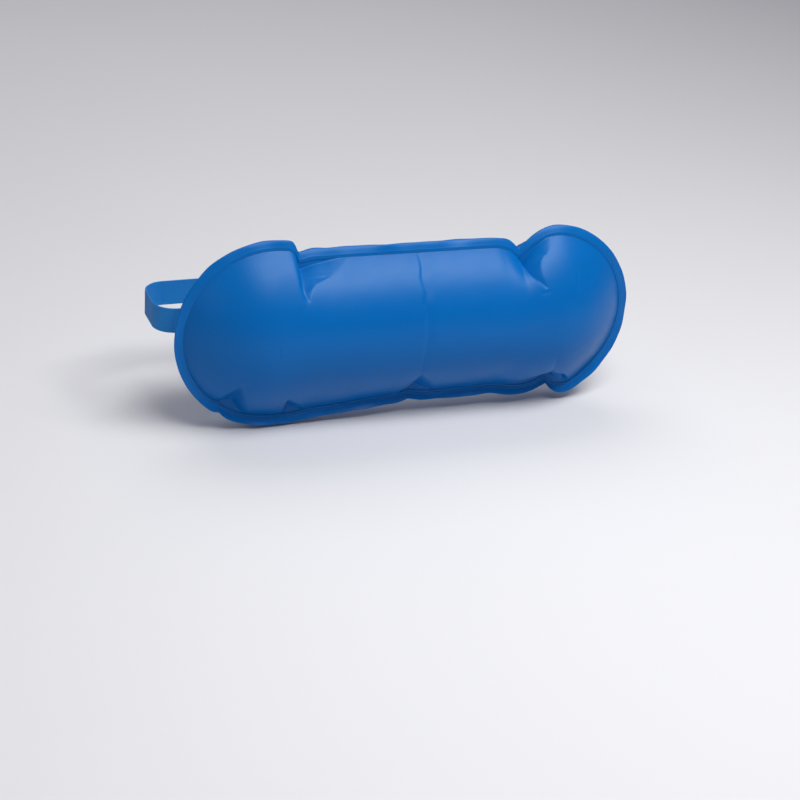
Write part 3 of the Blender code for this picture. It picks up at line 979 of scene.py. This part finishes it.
def anchor_patch(name, material):
    """A patch of vinyl welded to the rear film round its edge, following the film."""
    low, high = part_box(name)
    middle_x, half_x, half_z = (low.x + high.x) / 2, (high.x - low.x) / 2, high.z
    steps = [(0.0, 0.0001), (0.0, PATCH_LOW), (0.0003, PATCH_FACE), (0.0016, PATCH_FACE)]
    steps += [(0.0020, PATCH_LOW), (0.0038, PATCH_LOW), (0.0042, PATCH_FACE)]
    steps += [(inset, PATCH_FACE) for inset in (0.0080, 0.0140, 0.0200)]
    points = []
    for inset, height in steps:
        corner = max(PATCH_CORNER - inset, 0.0006)
        for x, z in rounded_outline(half_x - inset, half_z - inset, corner):
            points.append((middle_x + x, rear_film_y(middle_x + x, z) + height + GAP, z))
    count = len(points) // len(steps)
    faces = ring_faces(len(steps), count, flip=True)
    faces.append(tuple(range((len(steps) - 1) * count, len(steps) * count))[::-1])
    obj = mesh_object(name + "_patch", points, faces, material)
    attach(obj, "cushion")
    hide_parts(name)


def stitch(start, ahead, height):
    """One stitch's rings of points, with how far along and round the thread each point is."""
    across = np.array((-ahead[1], ahead[0])) / np.linalg.norm(ahead)
    points, run = [], []
    for ring in range(STITCH_RINGS):
        share = ring / (STITCH_RINGS - 1)
        place = start + ahead * ((1 - STITCH_SHARE) / 2 + STITCH_SHARE * share)
        lift = height + THREAD_RADIUS * (1.5 * math.sin(math.pi * share) - 0.9)
        for turn in range(THREAD_SIDES):
            angle = math.tau * turn / THREAD_SIDES
            x, z = place + across * THREAD_RADIUS * math.cos(angle)
            points.append((x, lift + THREAD_RADIUS * math.sin(angle), z))
            run.append((share * STITCH_LENGTH, angle, 0))
    return points, run


def stitches(name, lines, height, material):
    """Rows of sewn stitches in one mesh. Each line runs from one x, z point to the next."""
    points, faces, run = [], [], []
    one_stitch = ring_faces(STITCH_RINGS, THREAD_SIDES)
    one_stitch.append(tuple(range(THREAD_SIDES))[::-1])
    one_stitch.append(tuple((STITCH_RINGS - 1) * THREAD_SIDES + turn for turn in range(THREAD_SIDES)))
    for start, end in lines:
        start, end = np.array(start), np.array(end)
        count = max(1, round(np.linalg.norm(end - start) / STITCH_LENGTH))
        ahead = (end - start) / count
        for k in range(count):
            faces += [tuple(len(points) + corner for corner in face) for face in one_stitch]
            sewn, sewn_run = stitch(start + ahead * k, ahead, height)
            points += sewn
            run += sewn_run
    obj = mesh_object(name, points, faces, material)
    store(obj, "run", run)
    return obj


def box_stitch(name, material):
    """A sewn box with a cross in it."""
    low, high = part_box(name)
    left, right = low.x + STITCH_INSET, high.x - STITCH_INSET
    bottom, top = low.z + STITCH_INSET, high.z - STITCH_INSET
    corners = [(left, bottom), (right, bottom), (right, top), (left, top)]
    lines = list(zip(corners, corners[1:] + corners[:1]))
    lines += [(corners[0], corners[2]), (corners[1], corners[3])]
    obj = stitches(name + "_thread", lines, STRAP_Y + STRAP / 2, material)
    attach(obj, "cushion")
    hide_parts(name)


def bar_tack(material):
    """A dense zigzag that holds the strap's fixed end."""
    low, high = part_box("bar_tack")
    count = BAR_TACK_STITCHES
    levels = [low.z + (high.z - low.z) * k / count for k in range(count + 1)]
    lines = []
    for k, (first, second) in enumerate(zip(levels, levels[1:])):
        ends = (low.x, high.x) if k % 2 else (high.x, low.x)
        lines.append(((ends[0], first), (ends[1], second)))
    obj = stitches("bar_tack_thread", lines, OUTER_LAYER_Y + STRAP / 2, material)
    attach(obj, "strap_rear")
    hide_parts("bar_tack")


def strap():
    """Both halves of the strap, its anchors and what sews them."""
    cloth = webbing("blue_elastic", STRAP_BLUE)
    patch = vinyl("blue_vinyl_patch", dimmed(BLUE, 0.97), 0.40, pressed=True)
    sewn = thread("blue_thread", THREAD_BLUE)
    left = strap_piece("strap_left", -1, RECEPTACLE_BAR_X, RECEPTACLE_END_X, cloth)
    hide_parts("strap_side_left", "strap_rear_left")
    right = strap_piece("strap_right", 1, PLUG_BAR_X, PLUG_END_X, cloth)
    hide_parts("strap_side_right", "strap_rear_right")
    for end in ("left", "right"):
        anchor_patch(f"strap_anchor_{end}", patch)
        box_stitch(f"anchor_stitch_{end}", sewn)
    bar_tack(sewn)


PLASTIC_NODES = ("buckle_receptacle", "buckle_plug", "latch_arm_upper", "latch_arm_lower", "tail_keeper")


def plastic_parts():
    """The buckle and the keeper keep their CAD shape, with rounded edges and a plastic."""
    plastic = moulded_plastic("black_acetal", BLACK)
    for name in PLASTIC_NODES:
        obj = frame["nodes"][name]
        obj.data.materials.clear()
        obj.data.materials.append(plastic)
        round_edges(obj, PLASTIC_EDGE)


# The valve


def turned(name, profile, node_name, material, body):
    """A closed profile of radius and height, turned round the valve's axis, with rounded edges."""
    points = []
    for radius, height in profile:
        for k in range(TURNED_SIDES):
            angle = math.tau * k / TURNED_SIDES
            points.append((radius * math.cos(angle), radius * math.sin(angle), height))
    faces = ring_faces(len(profile), TURNED_SIDES)
    last = (len(profile) - 1) * TURNED_SIDES
    hollow = profile[0][0] > 0
    if hollow:
        for k in range(TURNED_SIDES):
            after = (k + 1) % TURNED_SIDES
            faces.append((last + k, last + after, after, k))
    obj = mesh_object(name, points, faces, material)
    bm = bmesh.new()
    bm.from_mesh(obj.data)
    bmesh.ops.remove_doubles(bm, verts=bm.verts, dist=1e-7)
    bmesh.ops.recalc_face_normals(bm, faces=bm.faces)
    bm.transform(valve_place())
    bm.to_mesh(obj.data)
    bm.free()
    obj.data.shade_smooth()
    round_edges(obj, VALVE_EDGE)
    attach(obj, body)
    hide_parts(node_name)
    return obj


def tether(material):
    """The strip that keeps the plug on the valve: out from the collar, up and back in."""
    route = [(0.0071, 0.0024), (0.0088, 0.0023), (0.0100, 0.0024)]
    route += arc((0.0100, 0.0034), 0.0010, -60, 60, 8)
    route += [(0.0100, 0.0044), (0.0088, 0.0045), (0.0062, 0.0044)]
    line = spaced(np.array(route), TETHER_STEP)
    section = rounded_outline(TETHER_HALF_WIDTH, TETHER_HALF_THICKNESS, TETHER_CORNER)
    place = valve_place()
    points = []
    for centre, out in zip(line, normals_of(line)):
        for across, through in section:
            x, z = centre + out * through
            points.append(place @ Vector((x, across, z)))
    count = len(section)
    faces = ring_faces(len(line), count)
    faces += [tuple(range(count))[::-1], tuple(range(len(points) - count, len(points)))]
    obj = mesh_object("valve_tether_strip", points, faces, material)
    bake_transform(obj)
    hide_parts("valve_tether")


def valve_flange(material):
    """The soft disc welded to the film, with a raised ring and a sleeve that goes in."""
    profile = [(VALVE_SLEEVE, GAP), (0.0118, GAP), (0.0120, 0.0006), (0.0118, 0.0009), (0.0108, 0.0010)]
    profile += [(0.0106, 0.0008), (0.0092, 0.0008), (0.0090, 0.0011), (0.0074, 0.0013)]
    profile += [(VALVE_SEAT, 0.0013), (VALVE_SEAT, -0.0040), (VALVE_SLEEVE, -0.0040)]
    turned("valve_flange_disc", profile, "valve_flange", material, "cushion")


def valve_stem(material):
    """The tube, with its collar outside, a groove and a foot inside."""
    profile = [(0.0074, 0.0031), (0.0074, 0.0017), (0.0052, 0.0017), (0.0052, -0.0060)]
    profile += [(0.0050, -0.0064), (0.0052, -0.0068), (0.0052, -0.0148), (0.0066, -0.0148)]
    profile += [(0.0066, -0.0160), (VALVE_BORE, -0.0160), (VALVE_BORE, 0.0031)]
    turned("valve_stem_tube", profile, "valve_stem", material, "valve_stem")


def valve_plug(material):
    """The stopper, with a grip above and a sealing groove in its shank."""
    bore = VALVE_BORE - GAP
    profile = [(0.0, 0.0047), (0.0036, 0.0047), (0.0044, 0.0052), (0.0058, 0.0052)]
    profile += [(0.0064, 0.0046), (0.0064, 0.0036), (0.0062, 0.0034), (bore, 0.0034), (bore, 0.0006)]
    profile += [(bore - 0.0003, 0.0002), (bore, -0.0002), (bore, -0.0033)]
    profile += [(0.0022, -0.0045), (0.0, -0.0045)]
    turned("valve_plug_cap", profile, "valve_plug", material, "valve_plug")


def valve():
    """The blow-up valve. Its check flap keeps its CAD shape."""
    clear = clear_vinyl("milky_valve_vinyl", VALVE_TINT)
    valve_flange(clear)
    valve_stem(clear)
    valve_plug(clear)
    tether(clear)
    flap = frame["nodes"]["valve_check_flap"]
    flap.data.materials.clear()
    flap.data.materials.append(clear)


studio()
camera()
cushion()
strap()
plastic_parts()
valve()
